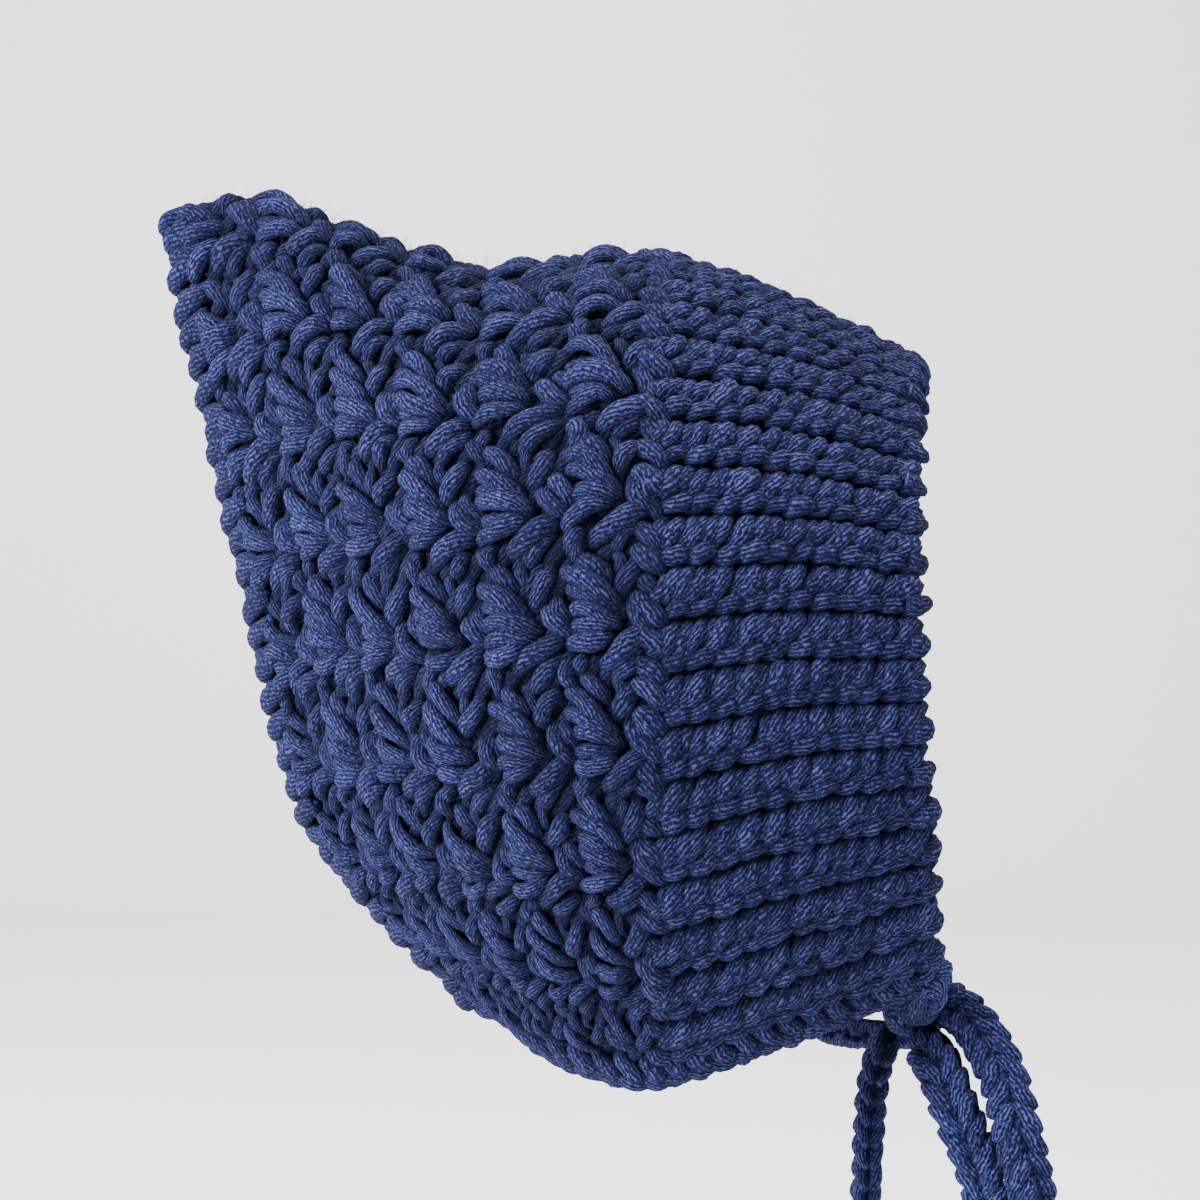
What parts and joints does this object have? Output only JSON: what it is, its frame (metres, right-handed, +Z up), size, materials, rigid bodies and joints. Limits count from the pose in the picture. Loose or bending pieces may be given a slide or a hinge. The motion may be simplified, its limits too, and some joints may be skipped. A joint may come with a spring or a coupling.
{
  "type": "crocheted pixie hood",
  "caption": "Crocheted child's pixie hood with a pointed back peak, ribbed brim round the face and ties in a bow under the chin, kept in its worn form.",
  "frame": {"origin": "inside of the crown at its top, where the top of the wearer's head touches the fabric", "axes": "+Z up, the face opening looks along -Y, the peak points back along +Y, the wearer's right side is -X"},
  "size_m": [0.124, 0.1894, 0.2498],
  "materials": {
    "body_crochet": "plied worsted yarn, puff stitch, matte",
    "rib_crochet": "plied worsted yarn, ribbed crochet, matte",
    "edging_crochet": "plied worsted yarn, single crochet, matte",
    "tie_crochet": "plied worsted yarn, narrow crocheted cord, matte"
  },
  "bodies": {
    "root": {"hood_body": "body_crochet", "brim_band": "rib_crochet", "neck_edging": "edging_crochet", "back_seam": "edging_crochet", "chin_tie_right": "tie_crochet", "chin_tie_left": "tie_crochet", "bow_knot": "tie_crochet", "bow_loop_right": "tie_crochet", "bow_loop_left": "tie_crochet", "bow_tail_right": "tie_crochet", "bow_tail_left": "tie_crochet"}
  },
  "joints": []
}
